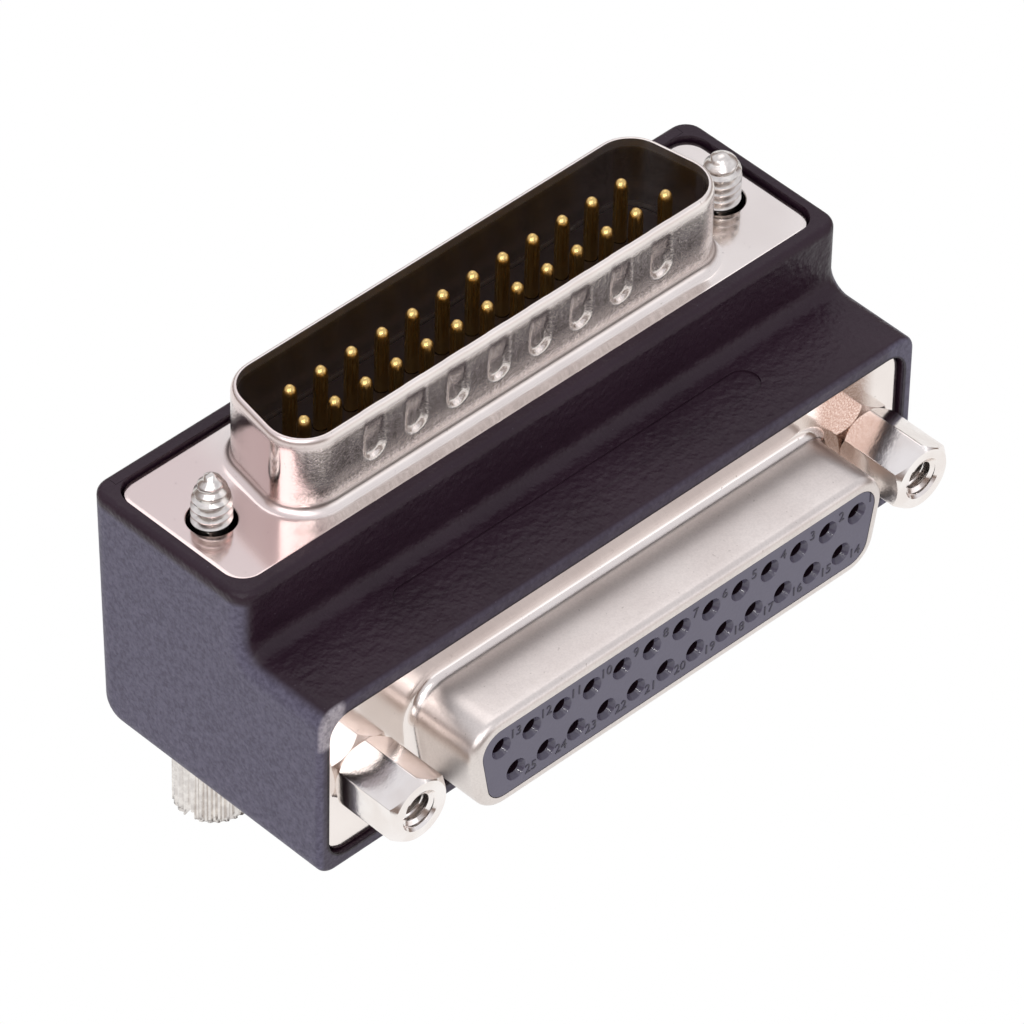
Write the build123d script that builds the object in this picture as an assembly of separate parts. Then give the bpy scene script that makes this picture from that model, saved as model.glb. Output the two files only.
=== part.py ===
from build123d import *
import math
import os

# Right-angle 25-way connector adapter, in millimetres.
# The origin is the centre of the plug flange's front face. +Z is the plug's mating
# direction, -Y is the socket's mating direction, and X runs along the connectors.

# Contact layout, the same on the plug and the socket.
contact_pitch = 2.77
row_gap = 2.84
long_row_count = 13
short_row_count = 12
side_angle = 10.0

# Plug shell, measured inside from the end pins and the rows, and its punched dimples.
plug_end_space = 2.86
plug_side_space = 2.76
plug_depth = 6.4
plug_corner = 2.6
skirt_wall = 0.4
skirt_flare = 0.8
rim_round = 0.3
dimple_count = 8
dimple_pitch = 3.77
dimple_radius = 1.2
dimple_depth = 0.35
dimple_fade = 0.02
dimple_low = 1.75
dimple_high = 5.6
dimple_plain_rim = 0.8

# Socket shell, measured outside, which slides into a plug shell with these gaps.
shell_end_gap = 0.29
shell_side_gap = 0.23
socket_depth = 6.05
socket_corner = 2.5
socket_round = 0.65
lip_reach = 0.85

# Stamped flanges, two to a connector, the front one on the rear one.
screw_offset = 4.04
flange_end = 3.0
flange_height = 12.5
flange_corner = 1.6
sheet = 0.45
flange_hole = 3.5

# Rear shells and insulators. The rear shell is wider than the plug shell by a step.
rear_step = 1.17
rear_corner = 3.2
rear_depth = 4.6
insulator_gap = 0.05
collar_gap = 0.1
collar_front = 0.5
collar_depth = 6.2
plug_face = 0.4
socket_face = 6.02

# Contacts: a round pin or bore on a square body with a pocket at its back.
pin_diameter = 1.02
pin_reach = 5.7
pin_nose = 0.4
pin_nose_taper = 0.28
pin_shoulder = 3.0
body_width = 1.5
contact_end = 7.4
pocket_depth = 1.8
contact_gap = 0.05
mouth_diameter = 1.75
mouth_depth = 0.4
entry_diameter = 1.15
contact_set_back = 1.0
socket_bore_depth = 5.0

# Formed strips that join each socket contact to its pin, soldered in the pockets.
strip_width = 0.7
strip_gap = 0.05
strip_entry = 1.2
strip_bend = 2.0

# Jack nuts and their brass inserts.
hex_across_flats = 4.76
hex_length = 5.6
hex_chamfer = 0.45
thread_radius = 1.42
thread_gap = 0.03
tapped_depth = 4.8
countersink = 0.35
stud_length = 6.2
insert_diameter = 4.0
insert_length = 5.0

# Captive thumbscrews, which hang a little below their seats.
screw_drop = 0.25
head_diameter = 5.65
head_length = 5.3
head_chamfer = 0.1
head_slot_width = 0.9
head_slot_depth = 1.4
flute_count = 18
flute_depth = 0.25
flute_end = 0.6
shank_diameter = 2.2
thread_top = 4.3
thread_length = 3.9
tip_length = 1.2
tip_radius = 0.55
screw_travel = 4.5
groove_diameter = 1.7
groove_width = 0.6
clip_diameter = 5.2
clip_thickness = 0.5
clip_gap = 0.1
clip_ring = 1.05
clip_tooth = 1.0
clip_opening = 1.5

# Housing, one moulding open at the back, and its back cover.
end_wall = 0.95
end_gap = 0.25
side_wall = 1.2
floor_wall = 1.05
roof_wall = 1.15
rim_height = 0.4
flange_gap = 0.1
body_draft = 2.0
socket_flange_y = -14.4
socket_axis_z = -12.44
end_round = 1.5
shelf_fillet = 1.2
back_round = 2.2
rim_edge = 0.6
front_edge = 0.4
recess_length = 33.3
recess_width = 2.5
recess_depth = 0.15
recess_y = -10.5
cover_gap = 0.03
sill_height = 2.4
window_gap = 0.65
post_size = 2.1
boss_wall = 0.6
rib_wall = 1.0
guide_diameter = 5.6
guide_height = 4.6
guide_gap = 0.15
passage_reach = 10.0
peg_diameter = 1.0
peg_length = 1.5
peg_gap = 0.02
peg_inset = 2.0
fit_gap = 0.02

# Sizes and places that follow from those above.
plug_width = (long_row_count - 1) * contact_pitch + 2 * plug_end_space
plug_height = row_gap + 2 * plug_side_space
socket_width = plug_width - 2 * shell_end_gap
socket_height = plug_height - 2 * shell_side_gap
rear_width = plug_width + 2 * rear_step
rear_height = plug_height + 2 * rear_step
window_length = rear_width + 2 * window_gap
screw_spacing = plug_width + 2 * screw_offset
flange_length = screw_spacing + 2 * flange_end
screw_x = screw_spacing / 2
row_y = row_gap / 2
contact_front = socket_face - contact_set_back
long_row = [(i - (long_row_count - 1) / 2) * contact_pitch for i in range(long_row_count)]
short_row = [(i - (short_row_count - 1) / 2) * contact_pitch for i in range(short_row_count)]
opening_half = flange_height / 2 + flange_gap
opening_length = flange_length + 2 * end_gap
body_length = opening_length + 2 * end_wall
body_half_depth = opening_half + side_wall
front_y = socket_flange_y - rim_height
floor_z = socket_axis_z - opening_half
bottom_z = floor_z - floor_wall
roof_z = socket_axis_z + opening_half
shelf_z = roof_z + roof_wall
flange_back = -2 * sheet
back_bottom_y = body_half_depth - (rim_height - bottom_z) * math.tan(math.radians(body_draft))
screw_centres = {"left": -screw_x, "right": screw_x}
guide_top = floor_z + guide_height
groove_low = guide_top + screw_travel + (clip_gap - (groove_width - clip_thickness) / 2)
peg_x = opening_length / 2 - post_size / 2
peg_heights = (flange_back - peg_inset, bottom_z + sill_height + peg_inset)


def d_outline(width, height, corner, wide_side):
    """Rounded D whose overall width is on the wide side: +1 for +Y, -1 for -Y."""
    lean = height * math.tan(math.radians(side_angle))
    half_corner = math.radians((90 - side_angle) / 2)
    sharp = width / 2 + corner * (1 / math.tan(half_corner) - 1)
    wide_y = wide_side * height / 2
    points = [(sharp, wide_y), (-sharp, wide_y), (lean - sharp, -wide_y), (sharp - lean, -wide_y)]
    outline = make_face(Polyline(*points, close=True))
    return fillet(outline.vertices(), corner)


def d_prism(width, height, corner, wide_side, low, high):
    return Pos(0, 0, low) * extrude(d_outline(width, height, corner, wide_side), high - low)


def flange_plate(low, high):
    plate = extrude(RectangleRounded(flange_length, flange_height, flange_corner), high - low)
    hole = Cylinder(flange_hole / 2, 3 * sheet, align=(Align.CENTER, Align.CENTER, Align.MIN))
    for x in screw_centres.values():
        plate -= Pos(x, 0, -sheet) * hole
    return Pos(0, 0, low) * plate


def rod(radius, low, high):
    return Pos(0, 0, low) * Cylinder(radius, high - low, align=(Align.CENTER, Align.CENTER, Align.MIN))


def edges_at_height(part, height):
    return part.edges().filter_by_position(Axis.Z, height - 1e-3, height + 1e-3)


def front_shell(width, height, corner, depth, wide_side, lip_round):
    """Drawn blank: a flange with a solid D-shaped skirt that flares into it."""
    outer = d_prism(width, height, corner, wide_side, -sheet, depth)
    shell = flange_plate(-sheet, 0) + outer
    foot = edges_at_height(shell, 0).filter_by(lambda e: abs(e.center().X) < width / 2 + 1)
    foot = foot.filter_by(lambda e: abs(e.center().Y) < height / 2 + 0.1)
    foot = foot.filter_by(lambda e: e.geom_type != GeomType.CIRCLE or abs(e.center().X) < screw_x - 2)
    shell = fillet(foot, skirt_flare)
    return fillet(edges_at_height(shell, depth), lip_round)


def dimple_tool(radius, x, wall_y):
    """Round-ended punch, leaning so that it bites deepest at its lower end."""
    low_y = wall_y + dimple_depth - radius
    high_y = wall_y + dimple_fade - radius
    lean = math.degrees(math.atan2(high_y - low_y, dimple_high - dimple_low))
    length = math.hypot(high_y - low_y, dimple_high - dimple_low)
    punch = rod(radius, 0, length) + Sphere(radius)
    return Pos(x, low_y, dimple_low + dimple_radius) * Rot(-lean, 0, 0) * punch


def make_plug_shell():
    width = plug_width + 2 * skirt_wall
    height = plug_height + 2 * skirt_wall
    shell = front_shell(width, height, plug_corner + skirt_wall, plug_depth, -1, rim_round)
    shell -= d_prism(plug_width, plug_height, plug_corner, -1, -2 * sheet, plug_depth + 1)
    wall_y = -height / 2
    inside = d_prism(plug_width, plug_height, plug_corner, -1, plug_face, plug_depth - dimple_plain_rim)
    for i in range(dimple_count):
        x = (i - (dimple_count - 1) / 2) * dimple_pitch
        bump = dimple_tool(dimple_radius + skirt_wall, x, wall_y)
        shell += bump & inside
        shell -= dimple_tool(dimple_radius, x, wall_y)
    return shell


def make_socket_shell():
    """Its front turns in as a lip round the insulator's face."""
    shell = front_shell(socket_width, socket_height, socket_corner, socket_depth, 1, socket_round)
    cavity = d_prism(socket_width - 2 * skirt_wall, socket_height - 2 * skirt_wall,
                     socket_corner - skirt_wall, 1, -2 * sheet, socket_depth - skirt_wall)
    cavity = fillet(edges_at_height(cavity, socket_depth - skirt_wall), socket_round - skirt_wall)
    mouth = d_prism(socket_width - 2 * lip_reach, socket_height - 2 * lip_reach,
                    socket_corner - lip_reach, 1, 0, socket_depth + 1)
    return shell - cavity - mouth


def make_rear_shell(wide_side):
    """Rear shell: the second flange, with a shallow skirt behind it."""
    low = flange_back - rear_depth
    shell = flange_plate(flange_back, -sheet)
    shell += d_prism(rear_width, rear_height, rear_corner, wide_side, low, flange_back)
    inner = rear_width - 2 * skirt_wall
    shell -= d_prism(inner, rear_height - 2 * skirt_wall, rear_corner - skirt_wall, wide_side,
                     low - 1, 0)
    return shell


def row_places(wide_side):
    """The long row lies on the wide side of the D."""
    places = [(x, wide_side * row_y) for x in long_row]
    return places + [(x, -wide_side * row_y) for x in short_row]


def make_insulator(width, height, corner, wide_side, face):
    """Moulded block: a nose inside the front shell and a collar inside the rear one."""
    nose_trim = 2 * insulator_gap
    block = d_prism(width - nose_trim, height - nose_trim, corner - insulator_gap, wide_side,
                    -collar_front, face)
    inner = rear_width - 2 * skirt_wall - 2 * collar_gap
    collar_height = rear_height - 2 * skirt_wall - 2 * collar_gap
    block += d_prism(inner, collar_height, rear_corner - skirt_wall - collar_gap, wide_side,
                     -collar_depth, -collar_front)
    return block


def square_rod(width, low, high):
    return Pos(0, 0, low) * Box(width, width, high - low, align=(Align.CENTER, Align.CENTER, Align.MIN))


def make_plug_insulator():
    block = make_insulator(plug_width, plug_height, plug_corner, -1, plug_face)
    hole = rod(pin_diameter / 2 + contact_gap, -pin_shoulder - 0.1, plug_face + 1)
    pocket = square_rod(body_width + 2 * contact_gap, -collar_depth - 1, -pin_shoulder)
    cutter = hole + pocket
    return block - [Pos(x, y, 0) * cutter for x, y in row_places(-1)]


def make_socket_insulator():
    inner_width = socket_width - 2 * skirt_wall
    inner_height = socket_height - 2 * skirt_wall
    shoulder = socket_depth - socket_round
    block = make_insulator(inner_width, inner_height, socket_corner - skirt_wall, 1, shoulder)
    face_trim = 2 * (lip_reach + insulator_gap)
    block += d_prism(socket_width - face_trim, socket_height - face_trim,
                     socket_corner - face_trim / 2, 1, 0, socket_face)
    mouth = Cone(entry_diameter / 2, mouth_diameter / 2, mouth_depth,
                 align=(Align.CENTER, Align.CENTER, Align.MAX))
    entry = rod(entry_diameter / 2, contact_front, socket_face)
    pocket = square_rod(body_width + 2 * contact_gap, -collar_depth - 1, contact_front + contact_gap)
    cutter = Pos(0, 0, socket_face) * mouth + entry + pocket
    return block - [Pos(x, y, 0) * cutter for x, y in row_places(1)]


def contact_body(front):
    """Square body with the strip's pocket in its back end."""
    pocket = square_rod(strip_width + 2 * strip_gap, -contact_end - 1, -contact_end + pocket_depth)
    return square_rod(body_width, -contact_end, front) - pocket


def make_pin():
    """Round pin with a tapered nose on a square body."""
    straight = pin_reach - pin_nose
    pin = contact_body(-pin_shoulder - contact_gap)
    pin += rod(pin_diameter / 2, -pin_shoulder - 2 * contact_gap, straight)
    nose = Cone(pin_diameter / 2, pin_diameter / 2 - pin_nose_taper, pin_nose,
                align=(Align.CENTER, Align.CENTER, Align.MIN))
    return pin + Pos(0, 0, straight) * nose


def make_socket_contact():
    """Square body with a round bore for the pin."""
    bore = rod(pin_diameter / 2 + contact_gap, contact_front - socket_bore_depth, contact_front + 1)
    return contact_body(contact_front) - bore


def contact_row(contact, places, y):
    return [Pos(x, y, 0) * contact for x in places]


def to_socket(shape):
    """From a connector's own frame, mating along +Z, to the socket's place."""
    return Pos(0, socket_flange_y, socket_axis_z) * Rot(90, 0, 0) * shape


def make_strip(x, plug_y, socket_z):
    """One bend, from the socket contact's pocket to the pin's, all in one plane."""
    start = (x, socket_flange_y + contact_end - strip_entry, socket_z)
    corner = (x, plug_y, socket_z)
    end = (x, plug_y, -contact_end + strip_entry)
    path = FilletPolyline(start, corner, end, radius=strip_bend)
    section = Plane(origin=start, z_dir=(0, 1, 0)) * Rectangle(strip_width, strip_width)
    return sweep(section, path=path)


def make_jack_nut():
    """Hexagonal jack nut in the connector's frame: tapped in front, stud behind."""
    corner_radius = hex_across_flats / math.sqrt(3)
    hexagon = RegularPolygon(corner_radius, 6, rotation=30)
    body = extrude(hexagon, hex_length)
    blank = rod(corner_radius + 0.01, 0, hex_length)
    blank = chamfer(edges_at_height(blank, hex_length), hex_chamfer)
    body = body & blank
    body += rod(thread_radius, -stud_length, 0)
    body -= rod(thread_radius, hex_length - tapped_depth, hex_length + 1)
    sink = Cone(thread_radius, thread_radius + countersink, countersink,
                align=(Align.CENTER, Align.CENTER, Align.MAX))
    return body - Pos(0, 0, hex_length) * sink


def make_insert():
    """Brass insert moulded into the boss behind the socket's flange."""
    front = flange_back
    insert = rod(insert_diameter / 2, front - insert_length, front)
    return insert - rod(thread_radius + thread_gap, front - insert_length - 1, front + 1)


def make_thumbscrew():
    """Slotted and fluted head, plain shank with a clip groove, and a threaded end."""
    head_low = bottom_z - head_length
    head = rod(head_diameter / 2, head_low, bottom_z)
    head = chamfer(edges_at_height(head, head_low), head_chamfer)
    notch = extrude(RegularPolygon(flute_depth, 4), head_length)
    notches = [Rot(0, 0, i * 360 / flute_count) * Pos(head_diameter / 2, 0, head_low - flute_end) * notch
               for i in range(flute_count)]
    slot = Box(head_diameter + 1, head_slot_width, 2 * head_slot_depth)
    head -= notches + [Pos(0, 0, head_low) * slot]
    thread_low = thread_top - thread_length
    shank = rod(shank_diameter / 2, bottom_z, thread_low)
    groove = rod(shank_diameter / 2 + 1, groove_low, groove_low + groove_width)
    shank -= groove - rod(groove_diameter / 2, groove_low, groove_low + groove_width)
    barrel = rod(thread_radius, thread_low, thread_top - tip_length)
    tip_low = thread_top - tip_length
    tip = Cone(thread_radius, tip_radius, tip_length, align=(Align.CENTER, Align.CENTER, Align.MIN))
    return head + shank + barrel + Pos(0, 0, tip_low) * tip


def make_clip():
    """Spring clip pushed sideways into the screw's groove, which three teeth hold."""
    inner = groove_diameter / 2 + clip_gap
    ring_inner = clip_diameter / 2 - clip_ring
    low = groove_low + (groove_width - clip_thickness) / 2
    tooth = Pos((inner + ring_inner) / 2, 0, low) * Box(
        ring_inner - inner + 0.2, clip_tooth, clip_thickness,
        align=(Align.CENTER, Align.CENTER, Align.MIN))
    clip = rod(clip_diameter / 2, low, low + clip_thickness)
    clip -= rod(ring_inner, low - 1, low + 1)
    clip += [Rot(0, 0, angle) * tooth for angle in (90, 210, 330)]
    clip -= rod(inner, low - 1, low + 1)
    return clip - Pos(0, -clip_diameter / 2, low) * Box(clip_opening, clip_diameter - 2 * clip_tooth, 4)


def make_outer():
    """Outer form: a tall block under the plug with a low block out to the socket."""
    profile = [(front_y, bottom_z), (front_y, shelf_z), (-body_half_depth, shelf_z),
               (-body_half_depth, rim_height), (body_half_depth, rim_height),
               (back_bottom_y, bottom_z)]
    side = make_face(Polyline(*[(0, y, z) for y, z in profile], close=True))
    block = extrude(side, amount=body_length / 2, dir=(1, 0, 0), both=True)
    along = block.edges().filter_by(Axis.X)
    inner_corner = along.filter_by(lambda e: abs(e.center().Y + body_half_depth) < 0.01
                                   and abs(e.center().Z - shelf_z) < 0.01)
    block = fillet(inner_corner, shelf_fillet)
    lower_back = block.edges().filter_by(Axis.X).filter_by(
        lambda e: abs(e.center().Y - back_bottom_y) < 0.01 and e.center().Z < bottom_z + 0.01)
    block = fillet(lower_back, back_round)
    ends = block.edges().filter_by(
        lambda e: abs(abs(e.center().X) - body_length / 2) < 1e-3
        and e.center().Z < rim_height - 1e-3 and e.center().Y > front_y + 1e-3)
    block = fillet(ends, end_round)
    block = fillet(edges_at_height(block, rim_height), rim_edge)
    front = block.edges().filter_by_position(Axis.Y, front_y - 1e-3, front_y + 1e-3)
    return fillet(front, front_edge)


def cover_blank(gap):
    """The back wall between the rounded corners, down to the sill."""
    half = body_length / 2 - end_round - gap
    low = bottom_z + sill_height + gap
    box = Box(2 * half, 4 * side_wall, rim_height + 1 - low,
              align=(Align.CENTER, Align.MIN, Align.MIN))
    return Pos(0, opening_half + gap, low) * box


def make_housing():
    """Hollow moulding with flange seats, insert bosses and screw guides inside."""
    body = make_outer()
    upper = Box(opening_length, 2 * opening_half, rim_height + 1 - floor_z,
                align=(Align.CENTER, Align.CENTER, Align.MIN))
    body -= Pos(0, 0, floor_z) * fillet(upper.edges().filter_by(Axis.Z), flange_corner + flange_gap)
    lower = Box(opening_length, -opening_half + 1 - front_y, 2 * opening_half,
                align=(Align.CENTER, Align.MIN, Align.CENTER))
    lower = fillet(lower.edges().filter_by(Axis.Y), flange_corner + flange_gap)
    body -= Pos(0, front_y - 1, socket_axis_z) * lower
    body -= cover_blank(0)
    outer_x = opening_length / 2
    end_width = (opening_length - window_length) / 2
    for x in screw_centres.values():
        side = math.copysign(1, x)
        wall = Box(end_width, side_wall, 2 * opening_half)
        body += Pos(side * (outer_x - end_width / 2), -opening_half - side_wall / 2,
                    socket_axis_z) * wall
        seat_y = socket_flange_y - flange_back
        boss_length = -opening_half - side_wall - seat_y
        boss = Cylinder(insert_diameter / 2 + boss_wall, boss_length + 0.2,
                        align=(Align.CENTER, Align.CENTER, Align.MIN))
        place = Pos(x, -opening_half - side_wall + 0.2, socket_axis_z) * Rot(90, 0, 0)
        body += place * boss
        rib = Box(rib_wall, boss_length + 0.2, 2 * opening_half,
                  align=(Align.CENTER, Align.MAX, Align.CENTER))
        body += Pos(x, -opening_half - side_wall + 0.2, socket_axis_z) * rib
        bore = to_socket(rod(insert_diameter / 2 + fit_gap, flange_back - insert_length, 1))
        body -= Pos(x, 0, 0) * bore
        through = to_socket(rod(thread_radius + 2 * thread_gap, -passage_reach, 1))
        body -= Pos(x, 0, 0) * through
        for y_side in (-1, 1):
            post = Box(post_size, post_size, flange_back - floor_z,
                       align=(Align.CENTER, Align.CENTER, Align.MIN))
            inset = fit_gap if y_side > 0 else 0
            post_y = y_side * (opening_half - post_size / 2 - inset)
            body += Pos(side * (outer_x - post_size / 2), post_y, floor_z) * post
        guide = rod(guide_diameter / 2, floor_z - floor_wall / 2, guide_top)
        body += Pos(x, 0, 0) * guide
        passage = rod(shank_diameter / 2 + guide_gap, bottom_z - 1, guide_top + 1)
        body -= Pos(x, 0, 0) * passage
        for z in peg_heights:
            peg_hole = Cylinder(peg_diameter / 2 + peg_gap, 2 * peg_length)
            body -= Pos(side * peg_x, opening_half, z) * Rot(90, 0, 0) * peg_hole
    recess = SlotOverall(recess_length, recess_width)
    body -= Pos(0, recess_y, shelf_z - recess_depth) * extrude(recess, 1)
    return body


def make_back_cover():
    """Back wall with the top rim's rear strip, held by four pegs in the posts."""
    cover = make_outer() & cover_blank(cover_gap)
    for side in (-1, 1):
        for z in peg_heights:
            peg = Cylinder(peg_diameter / 2, peg_length + 0.1)
            peg_y = opening_half + cover_gap - peg_length / 2 + 0.05
            cover += Pos(side * peg_x, peg_y, z) * Rot(90, 0, 0) * peg
    return cover


def write(name, shapes, colour):
    part = Compound(children=shapes) if isinstance(shapes, list) else shapes
    part.label = name
    part.color = Color(*colour)
    export_step(part, os.path.join("parts", name + ".step"))


black = (0.06, 0.06, 0.07)
nickel = (0.78, 0.75, 0.71)
gold = (0.83, 0.66, 0.31)
grey = (0.2, 0.2, 0.22)
tin = (0.8, 0.8, 0.8)

os.makedirs("parts", exist_ok=True)

write("housing", make_housing(), black)
write("back_cover", make_back_cover(), black)

write("plug_shell", make_plug_shell(), nickel)
write("plug_rear_shell", make_rear_shell(-1), nickel)
write("plug_insulator", make_plug_insulator(), grey)
pin = make_pin()
write("plug_pins_long_row", contact_row(pin, long_row, -row_y), gold)
write("plug_pins_short_row", contact_row(pin, short_row, row_y), gold)

write("socket_shell", to_socket(make_socket_shell()), nickel)
write("socket_rear_shell", to_socket(make_rear_shell(1)), nickel)
write("socket_insulator", to_socket(make_socket_insulator()), grey)
sleeve = make_socket_contact()
write("socket_contacts_long_row", [to_socket(s) for s in contact_row(sleeve, long_row, row_y)], gold)
write("socket_contacts_short_row", [to_socket(s) for s in contact_row(sleeve, short_row, -row_y)], gold)

write("strips_long_row", [make_strip(x, -row_y, socket_axis_z + row_y) for x in long_row], tin)
write("strips_short_row", [make_strip(x, row_y, socket_axis_z - row_y) for x in short_row], tin)

for side, x in screw_centres.items():
    write("jack_nut_" + side, Pos(x, 0, 0) * to_socket(make_jack_nut()), nickel)
    write("insert_" + side, Pos(x, 0, 0) * to_socket(make_insert()), gold)
    write("thumbscrew_" + side, Pos(x, 0, -screw_drop) * make_thumbscrew(), nickel)
    write("screw_clip_" + side, Pos(x, 0, -screw_drop) * make_clip(), tin)
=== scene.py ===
import math

import bmesh
import bpy
from mathutils import Euler, Matrix, Vector


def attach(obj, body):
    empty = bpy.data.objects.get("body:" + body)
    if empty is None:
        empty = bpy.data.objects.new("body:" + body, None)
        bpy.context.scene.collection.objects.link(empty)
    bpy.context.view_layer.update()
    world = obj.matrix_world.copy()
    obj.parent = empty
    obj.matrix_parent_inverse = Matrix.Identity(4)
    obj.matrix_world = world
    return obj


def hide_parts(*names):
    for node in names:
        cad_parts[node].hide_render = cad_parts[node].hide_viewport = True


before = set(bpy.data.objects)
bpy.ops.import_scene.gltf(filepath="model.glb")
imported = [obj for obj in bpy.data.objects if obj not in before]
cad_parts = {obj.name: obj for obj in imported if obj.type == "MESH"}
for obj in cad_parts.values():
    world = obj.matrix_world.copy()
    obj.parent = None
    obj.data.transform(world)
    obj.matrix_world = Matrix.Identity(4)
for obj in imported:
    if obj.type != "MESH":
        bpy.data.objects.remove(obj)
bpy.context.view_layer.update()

# The camera stands to the left and in front of the adapter and looks down on it. A long
# lens keeps its edges almost parallel. It leans a degree to one side, as the picture does.
scene = bpy.context.scene
mm = 0.001
lens = bpy.data.cameras.new("photo_camera")
lens.sensor_width = 36.0
lens.lens = 314.77
lens.clip_start = 0.01
camera = bpy.data.objects.new("photo_camera", lens)
camera.location = (-312.71 * mm, -317.79 * mm, 398.25 * mm)
camera.rotation_euler = Euler([math.radians(turn) for turn in (47.222, -1.0, -43.994)])
scene.collection.objects.link(camera)
scene.camera = camera

# The studio is a light tent: a pale sky that darkens towards the horizon, a white table
# far below the adapter, four large soft boxes hardly brighter than the sky, which the plated
# faces mirror, and a small bright one beside the camera that gives the glints.


class Value:
    """A socket in a material, with arithmetic that adds the nodes for it."""

    def __init__(self, finish, socket):
        self.finish = finish
        self.socket = socket

    def _math(self, operation, first, second):
        return self.finish.node("ShaderNodeMath", {"operation": operation}, {0: first, 1: second})

    def __add__(self, other):
        return self._math("ADD", self, other)

    __radd__ = __add__

    def __sub__(self, other):
        return self._math("SUBTRACT", self, other)

    def __rsub__(self, other):
        return self._math("SUBTRACT", other, self)

    def __neg__(self):
        return self._math("SUBTRACT", 0.0, self)

    def __mul__(self, other):
        return self._math("MULTIPLY", self, other)

    __rmul__ = __mul__

    def __truediv__(self, other):
        return self._math("DIVIDE", self, other)

    def __abs__(self):
        return self._math("ABSOLUTE", self, 0.0)

    def larger(self, other):
        return self._math("MAXIMUM", self, other)

    def ramp(self, low, high):
        """0 at low, 1 at high, smooth between, and level beyond."""
        limits = {0: self, 1: low, 2: high}
        return self.finish.node("ShaderNodeMapRange", {"interpolation_type": "SMOOTHSTEP"}, limits)


class Finish:
    """A material, or the world, built from nodes."""

    def __init__(self, name, owner=None):
        self.owner = owner or bpy.data.materials.new(name)
        self.owner.use_nodes = True
        self.tree = self.owner.node_tree
        self.tree.nodes.clear()

    def node(self, kind, settings=None, inputs=None, output=0):
        """Adds a node: its settings first, then the values or links of its sockets."""
        made = self.tree.nodes.new(kind)
        for key, value in (settings or {}).items():
            setattr(made, key, value)
        for key, value in (inputs or {}).items():
            if isinstance(value, Value):
                self.tree.links.new(value.socket, made.inputs[key])
            else:
                made.inputs[key].default_value = value
        return Value(self, made.outputs[output]) if made.outputs else None

    def place(self, output="Object"):
        return self.node("ShaderNodeTexCoord", output=output)

    def axes(self, place=None):
        """The place on the surface as three numbers, in metres."""
        place = place or self.place()
        split = self.node("ShaderNodeSeparateXYZ", {}, {0: place}).socket.node
        return [Value(self, output) for output in split.outputs]

    def noise(self, size, detail=2.0, roughness=0.5, place=None, lift=0.0):
        """Noise whose features are about size across, from 0 to 1, always of the same pattern."""
        settings = {"noise_dimensions": "4D"}
        inputs = {"Vector": place or self.place(), "Scale": 1 / size, "Detail": detail,
                  "Roughness": roughness, "W": lift}
        return self.node("ShaderNodeTexNoise", settings, inputs)

    def mix(self, share, first, second):
        """A colour between two others."""
        return self.node("ShaderNodeMix", {"data_type": "RGBA"}, {0: share, 6: first, 7: second}, 2)

    def bump(self, height, depth):
        """A bump in the surface, depth high in metres where height goes from 0 to 1."""
        inputs = {"Height": height, "Distance": depth, "Strength": 1.0}
        return self.node("ShaderNodeBump", {}, inputs)

    def surface(self, **inputs):
        """Ends the material with a principled shader; words in a socket's name are joined by _."""
        sockets = {key.replace("_", " "): value for key, value in inputs.items()}
        shader = self.node("ShaderNodeBsdfPrincipled", {}, sockets)
        self.node("ShaderNodeOutputMaterial", {}, {"Surface": shader})
        return self.owner


def rgb(red, green, blue):
    """A colour as a screen shows it, 0 to 255, as the linear values that a shader takes."""
    parts = [channel / 255 for channel in (red, green, blue)]
    linear = [part / 12.92 if part < 0.04045 else ((part + 0.055) / 1.055) ** 2.4 for part in parts]
    return (*linear, 1.0)


def soft_box(name, place, target, size, radiance, colour):
    """A rectangular lamp; radiance is how bright its face looks, where 1 is white paper."""
    light = bpy.data.lights.new(name, "AREA")
    light.shape = "RECTANGLE"
    light.size = size[0]
    light.size_y = size[1]
    light.energy = radiance * math.pi * size[0] * size[1]
    light.color = colour
    lamp = bpy.data.objects.new(name, light)
    lamp.location = place
    lamp.rotation_euler = (Vector(target) - Vector(place)).to_track_quat("-Z", "Y").to_euler()
    scene.collection.objects.link(lamp)
    return lamp


scene.view_settings.view_transform = "Standard"
sky = Finish("studio_sky", scene.world or bpy.data.worlds.new("studio_sky"))
scene.world = sky.owner
height = sky.axes(sky.place("Generated"))[2]
tent = sky.mix(height.ramp(0.0, 0.45), (0.24, 0.18, 0.155, 1.0), (0.83, 0.83, 0.87, 1.0))
tent_light = sky.node("ShaderNodeBackground", {}, {"Color": tent, "Strength": 1.0})
white = sky.node("ShaderNodeBackground", {}, {"Color": (1.0, 1.0, 1.0, 1.0), "Strength": 1.0})
seen = sky.node("ShaderNodeLightPath", output="Is Camera Ray")
shown = sky.node("ShaderNodeMixShader", {}, {0: seen, 1: tent_light, 2: white})
sky.node("ShaderNodeOutputWorld", {}, {"Surface": shown})

table_height = -85 * mm
table_half = 0.5
table_mesh = bpy.data.meshes.new("table")
corners = [(x * table_half, y * table_half, table_height)
           for x, y in ((-1, -1), (1, -1), (1, 1), (-1, 1))]
table_mesh.from_pydata(corners, [], [(0, 1, 2, 3)])
table = bpy.data.objects.new("table", table_mesh)
scene.collection.objects.link(table)
paper = Finish("white_paper")
lit = paper.node("ShaderNodeBsdfDiffuse", {}, {"Color": (0.86, 0.86, 0.86, 1.0)})
glow = paper.node("ShaderNodeEmission", {}, {"Color": (1.0, 1.0, 1.0, 1.0), "Strength": 1.0})
rays = [paper.node("ShaderNodeLightPath", output=kind)
        for kind in ("Is Camera Ray", "Is Glossy Ray", "Is Transmission Ray")]
bare = rays[0].larger(rays[1]).larger(rays[2])
paper_face = paper.node("ShaderNodeMixShader", {}, {0: bare, 1: lit, 2: glow})
paper.node("ShaderNodeOutputMaterial", {}, {"Surface": paper_face})
table_mesh.materials.append(paper.owner)

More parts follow.
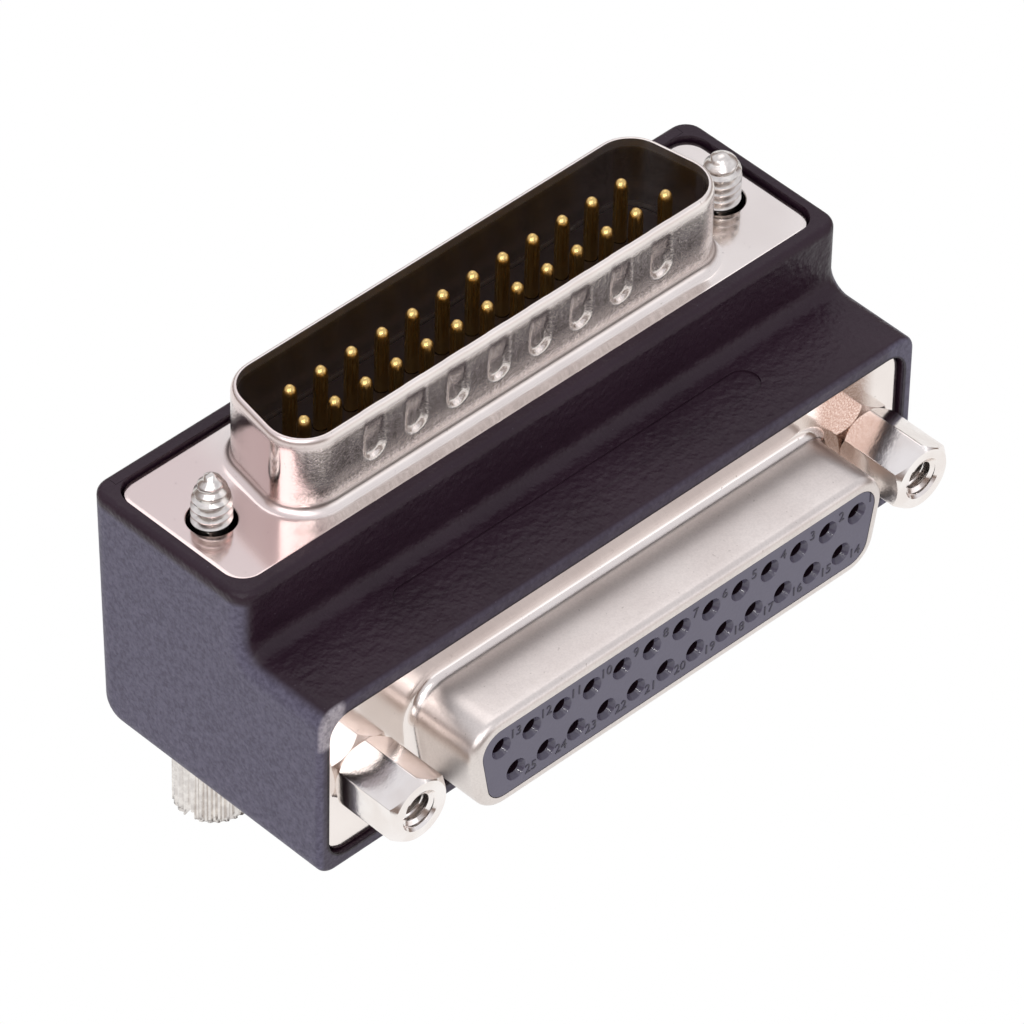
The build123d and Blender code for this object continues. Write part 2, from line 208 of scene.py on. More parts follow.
soft_box("left_box", (-0.78, -0.20, 0.50), (0, 0, -0.01), (0.7, 0.6), 1.55, (1.0, 0.98, 1.0))
soft_box("top_box", (0.20, 0.35, 0.75), (0, 0, 0), (0.6, 0.45), 0.72, (1.0, 0.96, 0.95))
soft_box("front_box", (-0.33, -0.54, 0.76), (0, 0, -0.01), (0.5, 0.45), 1.15, (1.0, 0.99, 1.0))
soft_box("camera_box", (-0.52, -0.65, 0.49), (0, 0, -0.01), (0.075, 0.075), 28.0, (1.0, 0.98, 0.97))
soft_box("window", (0.52, -0.84, 0.14), (0, 0, 0), (0.7, 0.62), 0.64, (0.96, 0.97, 1.0))

# The housing is one moulding of black plastic, eroded matt at its ends and round the
# socket, and smoother on the shelf between the connectors. The matt faces are also painted
# a paler grey, which is painted sheen. The recess round the socket's flange is painted near
# black as painted shade, and a pale patch beside its upper left corner, where the grain is
# smoother, is a painted highlight.
half_length = 27.72 * mm
front_y = -14.8 * mm
socket_z = -12.44 * mm
recess_corner_x = 24.92 * mm
recess_corner_rise = 4.43 * mm
recess_shade_radius = 2.01
recess_shade_fade = 2.145
corner_highlight_z = -7.79 * mm
corner_highlight_radius = 3.3
corner_highlight_fade = 3.8
relief_depth = 0.05 * mm
moulded = Finish("black_plastic")
across, along, up = moulded.axes()
grain = moulded.noise(0.28 * mm, 3.0, 0.6)
pits = moulded.noise(0.34 * mm, 3.0, 0.65, lift=5.0)
dust = moulded.noise(0.16 * mm, 1.0, 0.5, lift=1.0)
leather = moulded.noise(0.55 * mm, 1.5, 0.5, lift=3.0)
clouds = moulded.noise(8 * mm, 3.0, 0.6, lift=7.0)
end_faces = abs(across).ramp(half_length - 0.9 * mm, half_length - 0.2 * mm)
front_face = (-along).ramp(-front_y - 0.3 * mm, -front_y)
end_faces = end_faces * (-up).ramp(0.3 * mm, 0.9 * mm)
past_x = (abs(across) - recess_corner_x).larger(0.0) / mm
past_z = (abs(up - socket_z) - recess_corner_rise).larger(0.0) / mm
recess_shade = 1 - (past_x * past_x + past_z * past_z).ramp(recess_shade_radius ** 2, recess_shade_fade ** 2)
matt_and_painted_sheen = end_faces.larger(front_face * (0.45 + across.ramp(24.6 * mm, 25.6 * mm) * 0.5))
deep = moulded.mix(clouds.ramp(0.3, 0.7), rgb(37, 20, 32), rgb(44, 27, 39))
# Painted sheen: the matt ends and front get a paler grey than the deep black.
painted_sheen_grey = moulded.mix(pits.ramp(0.3, 0.7), rgb(74, 70, 87), rgb(98, 94, 112))
tone = moulded.mix(matt_and_painted_sheen, deep, painted_sheen_grey)
# Painted shade: the recess round the socket's flange is painted near black.
tone = moulded.mix(recess_shade * front_face * 0.8, tone, rgb(24, 10, 16))
tone = moulded.mix(dust.ramp(0.74, 0.8) * 0.35, tone, rgb(120, 112, 124))
# Painted highlight: a pale patch beside the recess's upper left corner; the grain is also smoother
# there.
off_x = (across + recess_corner_x) / mm
off_z = (up - corner_highlight_z) / mm
smooth_corner_highlight = 1 - (off_x * off_x + off_z * off_z).ramp(corner_highlight_radius ** 2, corner_highlight_fade ** 2)
smooth_corner_highlight = smooth_corner_highlight * (-across).ramp(25.2 * mm, 25.8 * mm) * up.ramp(-8.5 * mm, -7.9 * mm) * front_face
tone = moulded.mix(smooth_corner_highlight * (0.5 + pits.ramp(0.35, 0.65) * 0.5), tone, rgb(172, 165, 170))
relief = grain * (0.15 + matt_and_painted_sheen * 0.85) * (1 - smooth_corner_highlight * 0.7) + leather * (1 - matt_and_painted_sheen) * 2.2
dullness = 0.36 + matt_and_painted_sheen * 0.08 + grain.ramp(0.3, 0.7) * 0.12
black = moulded.surface(Base_Color=tone, Roughness=dullness, Specular_IOR_Level=0.28,
                        Normal=moulded.bump(relief, relief_depth))
for name in ("housing", "back_cover"):
    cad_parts[name].material_slots[0].material = black

# The two inserts are turned from brass and moulded into the bosses behind the socket's
# flange, where the jack nuts' studs screw into them.
brass = Finish("brass")
tarnish = brass.noise(0.6 * mm, 3.0, 0.6)
brass_colour = brass.mix(tarnish.ramp(0.3, 0.7), rgb(186, 152, 92), rgb(214, 184, 122))
turned_brass = brass.surface(Base_Color=brass_colour, Metallic=1.0, Roughness=0.28 + tarnish * 0.12)
for side in ("left", "right"):
    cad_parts["insert_" + side].material_slots[0].material = turned_brass

# The thumbscrews are turned from steel and nickel plated: a knurled head with a slot, a
# plain shank with a groove for its clip, and a 4-40 thread up to a tip, which is pointed on
# the left screw and blunter on the right one. Dark burrs stay on the knurl's lower edge.
screw_x = 23.52
pitch = 0.635
thread_crest = 1.41
thread_root = 1.08
crest_share = 0.125
flank_share = 0.3125
head_low = -25.39
head_high = -20.12
head_radius = 2.825
knurl_root = 2.6
knurls = 28
shank_radius = 1.1
groove_radius = 0.85
groove_low = -9.89
groove_high = -9.29
thread_low = -0.35
slot_width = 0.8
slot_depth = 0.75
slot_turn = 10.4
plain_tip = 0.06
burr_inner = 2.5
burr_outer = 2.7
tips = {"left": (1.15, 2.9, 0.68), "right": (2.3, 1.72, 0.55)}


def piece(name, shape, finish, slot, body, *nodes):
    """Makes a shape in millimetres into a piece that stands for CAD nodes and moves with a body."""
    bmesh.ops.remove_doubles(shape, verts=shape.verts, dist=1e-4)
    bmesh.ops.recalc_face_normals(shape, faces=shape.faces)
    bmesh.ops.scale(shape, vec=(mm, mm, mm), verts=shape.verts)
    mesh = bpy.data.meshes.new(name)
    shape.to_mesh(mesh)
    shape.free()
    mesh.shade_smooth()
    mesh.set_sharp_from_angle(angle=math.radians(38))
    mesh.materials.append(finish)
    made = bpy.data.objects.new(name, mesh)
    scene.collection.objects.link(made)
    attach(made, body)
    if nodes:
        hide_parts(*nodes)
    return made


def skin(shape, loops, closed=True, caps=(False, False)):
    """Faces between neighbouring rows of points that all have the same count."""
    rows = [[shape.verts.new(point) for point in loop] for loop in loops]
    for near, far in zip(rows, rows[1:]):
        for i in range(len(near) if closed else len(near) - 1):
            j = (i + 1) % len(near)
            shape.faces.new((near[i], near[j], far[j], far[i]))
    for cap, row in zip(caps, (rows[0], rows[-1])):
        if cap:
            shape.faces.new(row)
    return rows


def circle(angles, radius, z):
    """A row of points about the Z axis. The radius may differ from point to point."""
    radii = radius if isinstance(radius, list) else [radius] * len(angles)
    return [(r * math.cos(a), r * math.sin(a), z) for a, r in zip(angles, radii)]


def threaded_wall(shape, angles, low, high, end_radii, radius_at):
    """A wall whose rows climb one pitch a turn, cut level at both ends."""
    full_turn = (*angles, angles[0] + math.tau)
    profile = (0.0, crest_share, crest_share + flank_share, 1 - flank_share)
    rows = []
    for turn in range(-1, math.ceil((high - low) / pitch) + 1):
        for share in profile:
            row = []
            for angle in full_turn:
                z = low + pitch * (turn + share + (angle - angles[0]) / math.tau)
                if z <= low:
                    z, radius = low, end_radii[0]
                elif z >= high:
                    z, radius = high, end_radii[1]
                else:
                    radius = radius_at(z, share in profile[:2])
                row.append((radius * math.cos(angle), radius * math.sin(angle), z))
            rows.append(row)
    skin(shape, rows, closed=False)


nickel_screw = Finish("nickel_screw")
burnish = nickel_screw.noise(0.35 * mm, 3.0, 0.6)
stain = nickel_screw.noise(0.8 * mm, 2.0, 0.6, lift=4.0)
burr = nickel_screw.noise(0.45 * mm, 2.0, 0.7, lift=8.0)
across, along, up = nickel_screw.axes()
off_axis = abs(across) / mm - screw_x
from_axis = off_axis * off_axis + along * along / mm ** 2
head_edge = 1 - (up - head_low * mm).ramp(0.1 * mm, 0.7 * mm)
burrs = head_edge * from_axis.ramp(burr_inner ** 2, burr_outer ** 2) * burr.ramp(0.46, 0.58)
screw_tone = nickel_screw.mix(stain.ramp(0.35, 0.7), rgb(214, 208, 204), rgb(238, 233, 228))
screw_tone = nickel_screw.mix(burrs, screw_tone, rgb(62, 50, 44))
screw_plate = nickel_screw.surface(Base_Color=screw_tone, Metallic=1.0,
                                   Roughness=0.16 + burnish * 0.16,
                                   Normal=nickel_screw.bump(burnish, 0.012 * mm))


def make_thumbscrew(side, x, nose_start, nose_length, bluntness):
    columns = knurls * 4
    angles = [math.tau * (i + 0.5) / columns for i in range(columns)]
    knurled = [head_radius if i % 4 < 2 else knurl_root for i in range(columns)]

    def within(limit):
        return [min(radius, limit) for radius in knurled]

    head = bmesh.new()
    skin(head, [
        circle(angles, within(head_radius - 0.12), head_low),
        circle(angles, within(head_radius - 0.02), head_low + 0.1),
        circle(angles, knurled, head_low + 0.14),
        circle(angles, knurled, head_high - 0.2),
        circle(angles, within(head_radius - 0.2), head_high),
    ], caps=(True, True))
    cutter = bmesh.new()
    turn = Matrix.Rotation(math.radians(slot_turn), 4, "Z")
    bmesh.ops.create_cube(cutter, size=1.0, matrix=turn @ Matrix.Diagonal(
        (3 * head_radius, slot_width, 2 * slot_depth, 1.0)))
    bmesh.ops.translate(cutter, vec=(0, 0, head_low), verts=cutter.verts)
    blanks = []
    for label, blank in (("head", head), ("cutter", cutter)):
        bmesh.ops.recalc_face_normals(blank, faces=blank.faces)
        mesh = bpy.data.meshes.new(label)
        blank.to_mesh(mesh)
        blank.free()
        blanks.append(bpy.data.objects.new(label, mesh))
        scene.collection.objects.link(blanks[-1])
    cut = blanks[0].modifiers.new("slot", "BOOLEAN")
    cut.object = blanks[1]
    cut.operation = "DIFFERENCE"
    slotted = blanks[0].evaluated_get(bpy.context.evaluated_depsgraph_get()).to_mesh()
    shape = bmesh.new()
    shape.from_mesh(slotted)
    for blank in blanks:
        mesh = blank.data
        bpy.data.objects.remove(blank)
        bpy.data.meshes.remove(mesh)
    angles = [math.tau * i / 64 for i in range(64)]
    skin(shape, [
        circle(angles, shank_radius, head_high - 0.3),
        circle(angles, shank_radius, groove_low),
        circle(angles, groove_radius, groove_low),
        circle(angles, groove_radius, groove_high),
        circle(angles, shank_radius, groove_high),
        circle(angles, shank_radius, thread_low),
    ], caps=(True, False))

    def nose(z):
        return thread_crest * (1 - (max(z - nose_start, 0) / nose_length) ** 2) ** bluntness

    def wall(z, crest):
        root = min(thread_root, 0.85 * nose(z))
        return min(nose(z) if crest else root, shank_radius + 2 * (z - thread_low))

    wall_end = nose_start + nose_length - plain_tip
    threaded_wall(shape, angles, thread_low, wall_end, (shank_radius, nose(wall_end)), wall)
    heights = [wall_end + plain_tip * share for share in (0.0, 0.4, 0.7, 0.9, 0.98)]
    skin(shape, [circle(angles, nose(z), z) for z in heights], caps=(False, True))
    bmesh.ops.translate(shape, vec=(x, 0, 0), verts=shape.verts)
    piece("thumbscrew_" + side + "_turned", shape, screw_plate, "nickel_screw", side + "_screw",
          "thumbscrew_" + side)


for side, x in (("left", -screw_x), ("right", screw_x)):
    make_thumbscrew(side, x, *tips[side])

# A clip of spring steel is pushed sideways on the groove of each screw. It keeps the screw
# captive and slides with it.
spring = Finish("spring_steel")
temper = spring.noise(0.5 * mm, 3.0, 0.6)
clip_colour = spring.mix(temper, rgb(96, 92, 92), rgb(132, 126, 122))
clip_steel = spring.surface(Base_Color=clip_colour, Metallic=1.0, Roughness=0.3 + temper * 0.15)
for side in ("left", "right"):
    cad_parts["screw_clip_" + side].material_slots[0].material = clip_steel

# The shells are drawn from thin steel and plated with nickel: bright on the flat flanges,
# mottled and streaked by the die on the plug's deep wall, with a trace of it on the socket's.
# The walls' darker grey is partly that mottle and partly painted reflection. The plug's left
# end is painted darker and pinker, and the plate beside the right jack nut has tarnished.
nickel = Finish("nickel_plate")
spot = nickel.place()
across, along, up = nickel.axes(spot)
stretched = nickel.node("ShaderNodeVectorMath", {"operation": "MULTIPLY"},
                        {0: spot, 1: (1.0, 1.0, 0.12)})
peel = nickel.noise(0.15 * mm, 3.0, 0.7)
ripple = nickel.noise(0.9 * mm, 2.0, 0.55, lift=2.0)
streaks = nickel.noise(0.3 * mm, 3.0, 0.6, stretched, 3.0)
cast = nickel.noise(5 * mm, 2.0, 0.5, lift=6.0)
specks = nickel.noise(0.3 * mm, 1.0, 0.5, lift=9.0).ramp(0.71, 0.76)
plug_wall = up.ramp(0.4 * mm, 1.6 * mm) * (1 - up.ramp(5.3 * mm, 5.8 * mm))
plug_wall = plug_wall * (1 - abs(across).ramp(19.0 * mm, 19.6 * mm))
bends = up.ramp(0.0, 0.12 * mm) * (1 - up.ramp(0.7 * mm, 1.1 * mm)) + up.ramp(5.4 * mm, 5.8 * mm)
socket_wall = (-along).ramp(14.45 * mm, 15.3 * mm)
drawn = 0.04 + plug_wall * 0.96 + socket_wall * 0.2
plate_tone = nickel.mix(cast.ramp(0.3, 0.7), rgb(236, 227, 222), rgb(244, 236, 231))
# The plate is painted darker and pinker towards the plug's left end.
left_end_tint = (-across).ramp(16 * mm, 21 * mm) * up.ramp(-1 * mm, 0.0)
plate_tone = nickel.mix(left_end_tint, plate_tone, rgb(226, 209, 206))
plate_tone = nickel.mix(specks * (0.3 + plug_wall * 0.3), plate_tone, rgb(120, 104, 92))
mottle = peel.ramp(0.38, 0.62) * 0.7 + streaks.ramp(0.35, 0.65) * 0.3
mottle = mottle * (1 - 0.7 * up.ramp(1.7 * mm, 2.0 * mm) * (1 - up.ramp(2.5 * mm, 3.0 * mm)))
# The walls' darker grey: partly die mottle, partly painted reflection of dark surroundings.
drawn_mottle_and_painted_reflection = mottle * (plug_wall * 0.65 + socket_wall * 0.12) + socket_wall * 0.16
plate_tone = nickel.mix(drawn_mottle_and_painted_reflection, plate_tone, rgb(132, 122, 116))
tarnish = across.ramp(17.5 * mm, 19.5 * mm) * (1 - across.ramp(22.5 * mm, 24.5 * mm))
tarnish = tarnish * (-along).ramp(14.3 * mm, 14.38 * mm) * (1 - socket_wall)
tarnish = tarnish * (0.5 + peel.ramp(0.3, 0.6) * 0.5)
plate_tone = nickel.mix(tarnish * 0.9, plate_tone, rgb(150, 116, 98))
plate_relief = (peel * 0.7 + ripple * 0.3 + streaks * 0.1) * drawn
plate_dullness = 0.11 + plug_wall * 0.05 + socket_wall * 0.2 + bends * 0.16 + peel * 0.05
plated = nickel.surface(Base_Color=plate_tone, Metallic=1.0, Roughness=plate_dullness,
                        Normal=nickel.bump(plate_relief, 0.032 * mm))
for name in ("plug_rear_shell", "socket_rear_shell"):
    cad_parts[name].material_slots[0].material = plated

# The socket's front shell: a flange with a D-shaped skirt that flares into it and has a
# rolled lip. The plug's is made by the same steps and has punched dimples as well.
sheet = 0.45
skirt_wall = 0.4
flare = 0.8
side_angle = math.radians(10)
flange_length = 53.04
flange_height = 12.5
flange_corner = 1.6
flange_hole = 1.75
edge_round = 0.05
arc_steps = 10
to_socket = Matrix.Translation((0, -14.4, -12.44)) @ Matrix.Rotation(math.radians(90), 4, "X")


def d_opening(width, height, corner, wide_side, counts):
    """Points round a rounded D, each with its outward direction. The counts are the steps
    along the wide side, the slanting ends and the narrow side."""
    wide = (width / 2 - corner, height / 2 - corner)
    narrow = (wide[0] - (height - 2 * corner) * math.tan(side_angle), -wide[1])
    lean = math.degrees(side_angle)
    corners = [(wide[0], wide[1], -lean, 90), (-wide[0], wide[1], 90, 180 + lean),
               (-narrow[0], narrow[1], 180 + lean, 270), (narrow[0], narrow[1], 270, 360 - lean)]
    straights = (counts[0], counts[1], counts[2], counts[1])
    outline = []
    for cx, cy, first, last in corners:
        arc = []
        for i in range(arc_steps + 1):
            angle = math.radians(first + (last - first) * i / arc_steps)
            nx, ny = math.cos(angle), math.sin(angle)
            arc.append((cx + corner * nx, cy + corner * ny, nx, ny))
        outline.append(arc)
    points = []
    for i, arc in enumerate(outline):
        points += arc
        start, end = arc[-1], outline[(i + 1) % 4][0]
        for step in range(1, straights[i]):
            share = step / straights[i]
            x, y = [a + (b - a) * share for a, b in zip(start[:2], end[:2])]
            points.append((x, y, start[2], start[3]))
    return [(x, wide_side * y, nx, wide_side * ny) for x, y, nx, ny in points]


def fill(shape, *rows):
    """A flat face between an outer loop and the loops within it."""
    edges = []
    for row in rows:
        for a, b in zip(row, row[1:] + row[:1]):
            edges.append(shape.edges.get((a, b)) or shape.edges.new((a, b)))
    bmesh.ops.triangle_fill(shape, use_beauty=True, edges=edges)


def front_shell(opening, heights, lip, press):
    """The flange and skirt. lip holds the rows over the skirt's end, each how far outside the
    opening and how high. press moves a point of the skirt inwards where it is dimpled."""
    shape = bmesh.new()

    def ring(offset, z):
        return [press(x + offset * nx, y + offset * ny, z, ny) for x, y, nx, ny in opening]

    foot = [i * math.pi / 16 for i in range(9)]
    rows = [ring(skirt_wall + flare + 0.4, 0)]
    rows += [ring(skirt_wall + flare * (1 - math.sin(a)), flare * (1 - math.cos(a))) for a in foot]
    rows += [ring(skirt_wall, z) for z in heights]
    rows += [ring(offset, z) for offset, z in lip]
    rows += [ring(0, z) for z in reversed(heights)]
    rows += [ring(0, -sheet), ring(0.3, -sheet)]
    walls = skin(shape, rows)

    def plate_loop(inset, z):
        loop = []
        for sx, sy, first in ((1, 1, 0), (-1, 1, 90), (-1, -1, 180), (1, -1, 270)):
            for i in range(9):
                angle = math.radians(first + 90 * i / 8)
                radius = flange_corner - inset
                x = sx * (flange_length / 2 - flange_corner) + radius * math.cos(angle)
                y = sy * (flange_height / 2 - flange_corner) + radius * math.sin(angle)
                loop.append((x, y, z))
        return loop

    plate = skin(shape, [plate_loop(0.35, 0), plate_loop(edge_round, 0), plate_loop(0.015, -0.015),
                         plate_loop(0, -edge_round), plate_loop(0, 0.03 - sheet),
                         plate_loop(0.03, -sheet), plate_loop(0.35, -sheet)])
    fronts, backs = [plate[0], walls[0]], [plate[-1], walls[-1]]
    angles = [math.tau * i / 40 for i in range(40)]
    for x in (-screw_x, screw_x):
        hole = [(flange_hole + 0.3, 0), (flange_hole + edge_round, 0), (flange_hole + 0.03, -0.03),
                (flange_hole, -edge_round), (flange_hole, -sheet), (flange_hole + 0.3, -sheet)]
        rim = skin(shape, [[(x + px, py, pz) for px, py, pz in circle(angles, radius, z)]
                           for radius, z in hole])
        fronts.append(rim[0])
        backs.append(rim[-1])
    fill(shape, *fronts)
    fill(shape, *backs)
    return shape


def undimpled(x, y, z, ny):
    return (x, y, z)


socket_opening = d_opening(37.58, 7.1, 2.1, 1, (24, 4, 24))
socket_heights = [0.9 + i * 0.5 for i in range(9)]
socket_shoulder = 5.4
socket_depth = 6.05
lip_fold = 0.25
lip_reach = 0.45
lip_round = 0.65
quarter = [i * math.pi / 20 for i in range(11)]
socket_lip = [(lip_round * math.cos(a) - lip_fold, socket_shoulder + lip_round * math.sin(a))
              for a in quarter]
socket_lip += [(0.02 - lip_reach, socket_depth), (-lip_reach, socket_depth - 0.02),
               (-lip_reach, socket_shoulder + lip_fold)]
socket_lip += [(lip_fold * (math.cos(a) - 1), socket_shoulder + lip_fold * math.sin(a))
               for a in reversed(quarter)]
socket_skin = front_shell(socket_opening, socket_heights, socket_lip, undimpled)
bmesh.ops.transform(socket_skin, matrix=to_socket, verts=socket_skin.verts)
piece("socket_shell_drawn", socket_skin, plated, "nickel_plate", "adapter", "socket_shell")

# The socket's insulator is a block of dark grey plastic with a funnel at each contact; the
# funnels and bores are painted darker as painted shade. The contacts' numbers stand a little
# proud of it, 1 to 13 above and 14 to 25 below, and are painted a darker grey as painted shade.
contact_pitch = 2.77
row_y = 1.42
socket_face = 6.02
number_size = 1.12
number_rise = 0.035
upper_shift = (1.28, 0.62)
lower_shift = (1.36, -0.68)
moulding = Finish("grey_insulator")
block_speck = moulding.noise(0.25 * mm, 2.0, 0.6)
block_cloud = moulding.noise(3 * mm, 2.0, 0.5, lift=3.0)
block_tone = moulding.mix(block_speck * 0.6 + block_cloud * 0.4, rgb(84, 80, 97), rgb(96, 92, 109))
into_block = moulding.axes()[1]
in_funnel = into_block.ramp(-20.41 * mm, -20.37 * mm)
bore_painted_shade = into_block.ramp(-20.06 * mm, -19.98 * mm)
# Painted shade: the funnels a little darker and the bores nearly black.
block_tone = moulding.mix(in_funnel * 0.25 + bore_painted_shade * 0.7, block_tone, rgb(26, 10, 18))
block_grey = moulding.surface(Base_Color=block_tone,
                              Roughness=0.34 - in_funnel * 0.24 + block_speck * 0.08,
                              Normal=moulding.bump(block_speck, 0.012 * mm))
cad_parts["socket_insulator"].material_slots[0].material = block_grey
# Painted shade: the numbers are the block's plastic, painted darker to look engraved.
marking = Finish("number_painted_shade")
mark_speck = marking.noise(0.2 * mm)
number_shade_tone = marking.mix(mark_speck, rgb(52, 48, 60), rgb(62, 58, 70))
number_shade_grey = marking.surface(Base_Color=number_shade_tone, Roughness=0.5)

numbers = bmesh.new()
for number in range(1, 26):
    text = bpy.data.curves.new("contact_number", "FONT")
    text.body = str(number)
    text.size = number_size
    text.extrude = number_rise
    text.resolution_u = 3
    text.align_x = "CENTER"
    text.align_y = "CENTER"
    if number <= 13:
        x, y = (7 - number) * contact_pitch + upper_shift[0], row_y + upper_shift[1]
    else:
        x, y = (19.5 - number) * contact_pitch + lower_shift[0], lower_shift[1] - row_y
    letters = bpy.data.objects.new("contact_number", text)
    scene.collection.objects.link(letters)
    outline = letters.evaluated_get(bpy.context.evaluated_depsgraph_get()).to_mesh()
    outline.transform(to_socket @ Matrix.Translation((x, y, socket_face)))
    numbers.from_mesh(outline)
    bpy.data.objects.remove(letters)
    bpy.data.curves.remove(text)
piece("contact_numbers", numbers, number_shade_grey, "grey_insulator", "adapter")

# Contacts are turned from brass and gilt. Formed strips of tinned copper join each socket
# contact to its pin inside the housing.
gilt = Finish("gold_plate")
film = gilt.noise(0.5 * mm, 3.0, 0.6)
wear = gilt.noise(2.0 * mm, 2.0, 0.5, lift=5.0)
gold_tone = gilt.mix(film * 0.5 + wear * 0.5, rgb(214, 174, 100), rgb(240, 212, 146))
gold = gilt.surface(Base_Color=gold_tone, Metallic=1.0, Roughness=0.14 + film * 0.12,
                    Normal=gilt.bump(film, 0.006 * mm))
for name in ("socket_contacts_long_row", "socket_contacts_short_row"):
    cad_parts[name].material_slots[0].material = gold
tinned = Finish("tinned_copper")
flow = tinned.noise(0.8 * mm, 2.0, 0.6)
tin_tone = tinned.mix(flow, rgb(196, 196, 198), rgb(224, 222, 220))
tin = tinned.surface(Base_Color=tin_tone, Metallic=1.0, Roughness=0.26 + flow * 0.18,
                     Normal=tinned.bump(flow, 0.02 * mm))
for name in ("strips_long_row", "strips_short_row"):
    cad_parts[name].material_slots[0].material = tin

pin_radius = 0.51
pin_end = 5.7
pin_nose = 0.75
body_low = -7.4
body_high = -3.05
body_half = 0.75
pocket_floor = -5.6
pocket_half = 0.4
pin_angles = [math.tau * i / 24 for i in range(24)]


def square(half, z):
    radii = [half / max(abs(math.cos(a)), abs(math.sin(a))) for a in pin_angles]
    return circle(pin_angles, radii, z)


pin_loops = [square(pocket_half, pocket_floor), square(pocket_half, body_low),
             square(body_half, body_low), square(body_half, body_high),
             circle(pin_angles, pin_radius, body_high)]
for degrees in (0, 20, 38, 54, 67, 78):
    angle = math.radians(degrees)
    pin_loops.append(circle(pin_angles, pin_radius * math.cos(angle),
                            pin_end - pin_nose + pin_nose * math.sin(angle)))
pin_loops.append(circle(pin_angles, 0.03, pin_end))
for row, count, y in (("long_row", 13, -row_y), ("short_row", 12, row_y)):
    pins = bmesh.new()
    for i in range(count):
        x = (i - (count - 1) / 2) * contact_pitch
        loops = [[(px + x, py + y, pz) for px, py, pz in loop] for loop in pin_loops]
        skin(pins, loops, caps=(True, True))
    piece("pins_" + row + "_turned", pins, gold, "gold_plate", "adapter", "plug_pins_" + row)

# The plug's insulator is moulded from near-black plastic. It lies at the bottom of the
# plug's shell, round the feet of the pins.
dark = Finish("dark_insulator")
dark_speck = dark.noise(0.3 * mm, 2.0, 0.6)
dark_tone = dark.mix(dark_speck, rgb(20, 9, 11), rgb(30, 16, 18))
dark_block = dark.surface(Base_Color=dark_tone, Specular_IOR_Level=0.2,
                          Roughness=0.4 + dark_speck * 0.15,
                          Normal=dark.bump(dark_speck, 0.015 * mm))
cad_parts["plug_insulator"].material_slots[0].material = dark_block

# The plug's shell has eight dimples along its front, which grip the mating shell. A round
# punch made them: each is a shallow trough with a round lower end that fades towards the lip.
dimples = 8
dimple_pitch = 3.77
dimple_half = 1.02
dimple_low = 2.0
dimple_depth = 0.3


def ease(value, low, high):
    """0 at low, 1 at high, smooth between."""
    share = min(max((value - low) / (high - low), 0.0), 1.0)
    return share * share * (3 - 2 * share)


def dimpled(x, y, z, ny):
    if ny > -0.999 or z < 1:
        return (x, y, z)
    nearest = min(max(round(x / dimple_pitch - 0.5), -dimples // 2), dimples // 2 - 1) + 0.5
    u = abs(x - nearest * dimple_pitch)
    below = min(z - dimple_low - dimple_half, 0)
    inside = dimple_half - math.hypot(u, below)
    depth = dimple_depth * ease(inside, -0.05, 0.42) * (1 - 0.92 * ease(z, 3.4, 5.65))
    return (x, y + depth, z)


plug_opening = d_opening(38.96, 8.36, 2.6, -1, (280, 4, 24))
plug_heights = [0.9 + i * 0.13 for i in range(37)]
plug_depth = 6.4
plug_lip = [(skirt_wall - 0.34 * (1 - math.cos(a)), plug_depth - 0.66 * (1 - math.sin(a)))
            for a in quarter[1:]]
plug_lip += [(0.02, plug_depth - 0.01), (0, plug_depth - 0.03)]
plug_skin = front_shell(plug_opening, plug_heights, plug_lip, dimpled)
piece("plug_shell_drawn", plug_skin, plated, "nickel_plate", "adapter", "plug_shell")

# Each jack nut is turned from hexagonal steel and plated: chamfered and tapped in front,
# with a threaded stud behind that holds the socket's flange on its insert.
hex_half = 2.38
hex_length = 5.6
hex_edge = 0.1
front_chamfer = 0.45
chamfer_start = 2.758
end_radius = 2.308
rear_chamfer = 0.4
sink_radius = 1.6
sink_depth = 0.2
tapped_low = 0.8
stud_low = -6.2
nut_crest = 1.42
nut_turns = {"left": 1.0, "right": -2.0}
nut_finish = Finish("nickel_nut")
fine = nut_finish.noise(0.18 * mm, 2.0, 0.6)
broad = nut_finish.noise(0.8 * mm, 2.0, 0.6, lift=2.0)
nut_cast = nut_finish.noise(2.4 * mm, 2.0, 0.5, lift=6.0)
nut_tone = nut_finish.mix(nut_cast.ramp(0.3, 0.7), rgb(238, 230, 225), rgb(248, 243, 240))
nut_plate = nut_finish.surface(Base_Color=nut_tone, Metallic=1.0, Roughness=0.12 + fine * 0.06,
                               Normal=nut_finish.bump(fine * 0.35 + broad * 0.65, 0.014 * mm))


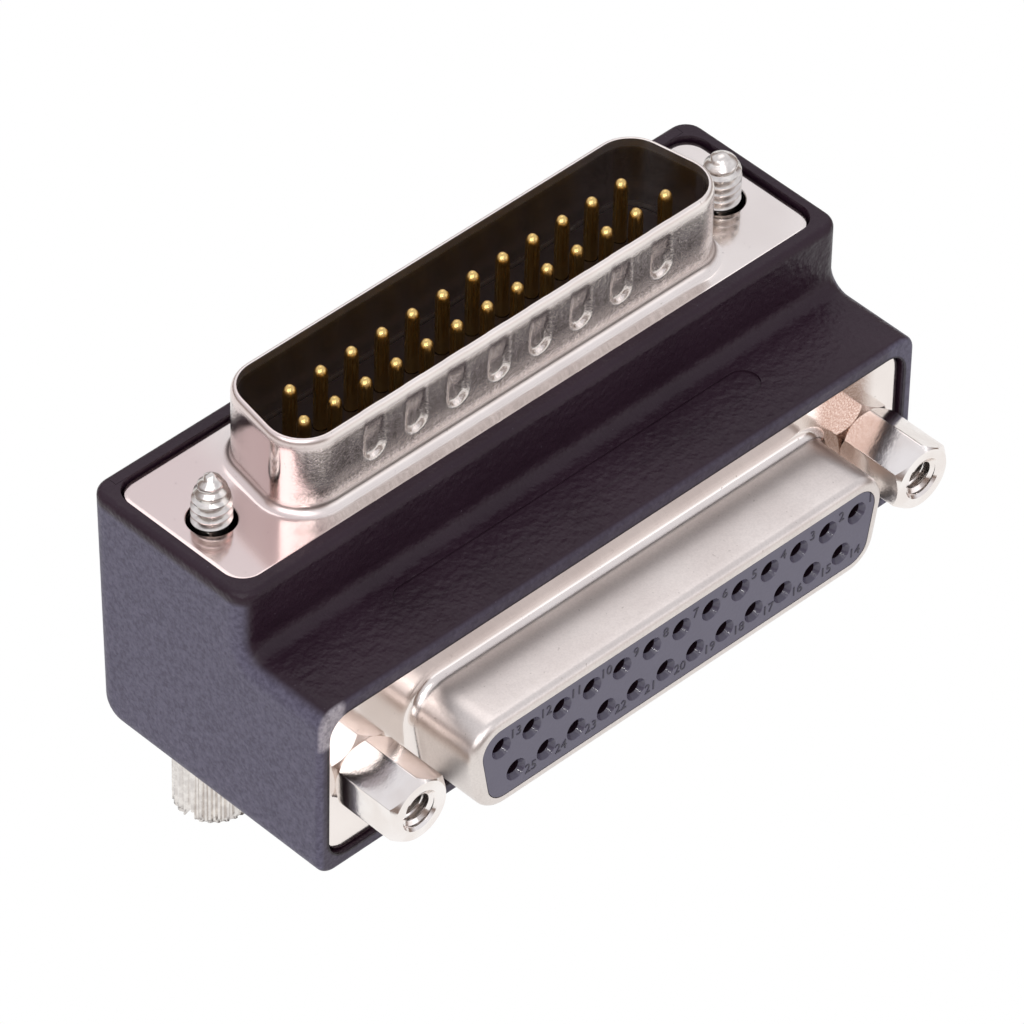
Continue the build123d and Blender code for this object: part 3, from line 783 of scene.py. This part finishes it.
def make_jack_nut(side, x, turn):
    centre = (hex_half - hex_edge) / math.cos(math.radians(30))
    reach = math.atan2(hex_edge * 0.5, centre + hex_edge * math.cos(math.radians(30)))
    angles, radii = [], []
    for corner in range(6):
        heading = corner * math.pi / 3
        for share in (-1, -0.5, 0, 0.5, 1):
            angles.append(heading + share * reach)
            part = centre * math.sin(share * reach)
            radii.append(centre * math.cos(share * reach) + math.sqrt(hex_edge ** 2 - part ** 2))
        for step in range(1, 12):
            angle = reach + (math.pi / 3 - 2 * reach) * step / 12
            angles.append(heading + angle)
            radii.append(hex_half / math.cos(angle - math.pi / 6))
    slope = (chamfer_start - end_radius) / front_chamfer
    falls = [max(chamfer_start - r, 0) / slope for r in radii]
    shape = bmesh.new()

    def edge_loop(start, way):
        return [(r * math.cos(a), r * math.sin(a), start + way * fall)
                for a, r, fall in zip(angles, radii, falls)]

    def stud(z, crest):
        return min(nut_crest if crest else thread_root, 1.0 + (z - stud_low))

    def bore(z, crest):
        return thread_root + 0.06 if crest else nut_crest

    threaded_wall(shape, angles, stud_low, 0, (1.0, thread_root), stud)
    skin(shape, [circle(angles, 0.9, stud_low), circle(angles, 1.0, stud_low)], caps=(True, False))
    bore_end = hex_length - sink_depth
    skin(shape, [circle(angles, thread_root, 0),
                 circle(angles, chamfer_start - rear_chamfer * slope, 0),
                 edge_loop(rear_chamfer, -1), edge_loop(hex_length - front_chamfer, 1),
                 circle(angles, end_radius, hex_length), circle(angles, sink_radius, hex_length),
                 circle(angles, nut_crest, bore_end)])
    threaded_wall(shape, angles, tapped_low, bore_end, (thread_root, nut_crest), bore)
    skin(shape, [circle(angles, thread_root, tapped_low), circle(angles, 0.05, tapped_low - 0.5)],
         caps=(False, True))
    place = Matrix.Translation((x, 0, 0)) @ to_socket @ Matrix.Rotation(math.radians(turn), 4, "Z")
    bmesh.ops.transform(shape, matrix=place, verts=shape.verts)
    piece("jack_nut_" + side + "_turned", shape, nut_plate, "nickel_screw", "adapter",
          "jack_nut_" + side)


for side, x in (("left", -screw_x), ("right", screw_x)):
    make_jack_nut(side, x, nut_turns[side] + 90.0)
